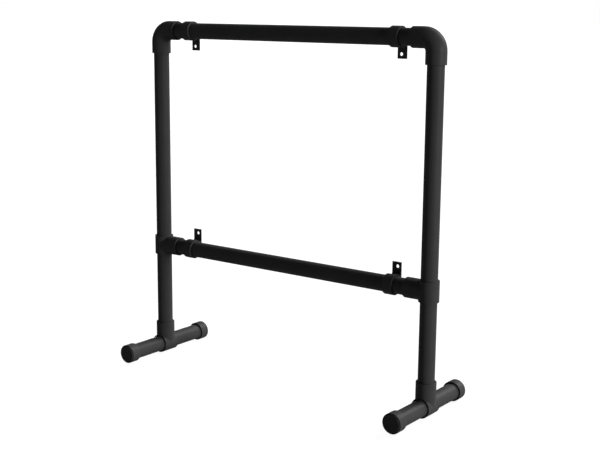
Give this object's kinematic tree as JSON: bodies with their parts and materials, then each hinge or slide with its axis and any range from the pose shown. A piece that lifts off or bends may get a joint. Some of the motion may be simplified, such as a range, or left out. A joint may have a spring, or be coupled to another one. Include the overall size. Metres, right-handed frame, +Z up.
{
  "type": "freestanding tube frame",
  "caption": "Upright rectangular frame of black plastic pipe on cross feet, with slip-on clips whose drilled tabs hold a panel behind its rails.",
  "frame": {"origin": "on the floor, midway between the posts and midway along the feet", "axes": "+Z up, X along the rails, Y along the feet, with the clip tabs on the +Y side"},
  "size_m": [0.729, 0.2512, 0.7461],
  "materials": {
    "pipe": "extruded rigid plastic pipe, black, matt with a dull sheen and faint draw lines along it",
    "fitting": "injection moulded rigid plastic, black, matt with a dull sheen and a fine grain",
    "clip": "injection moulded plastic, black, matt with a dull sheen and a fine grain"
  },
  "bodies": {
    "root": {"left_foot_tube": "pipe", "left_foot_tee": "fitting", "left_front_cap": "fitting", "left_rear_cap": "fitting", "left_post": "pipe", "left_mid_tee": "fitting", "left_elbow": "fitting", "right_foot_tube": "pipe", "right_foot_tee": "fitting", "right_front_cap": "fitting", "right_rear_cap": "fitting", "right_post": "pipe", "right_mid_tee": "fitting", "right_elbow": "fitting", "top_rail": "pipe", "top_left_clip": "clip", "top_right_clip": "clip", "mid_rail": "pipe", "mid_left_clip": "clip", "mid_right_clip": "clip"}
  },
  "joints": []
}
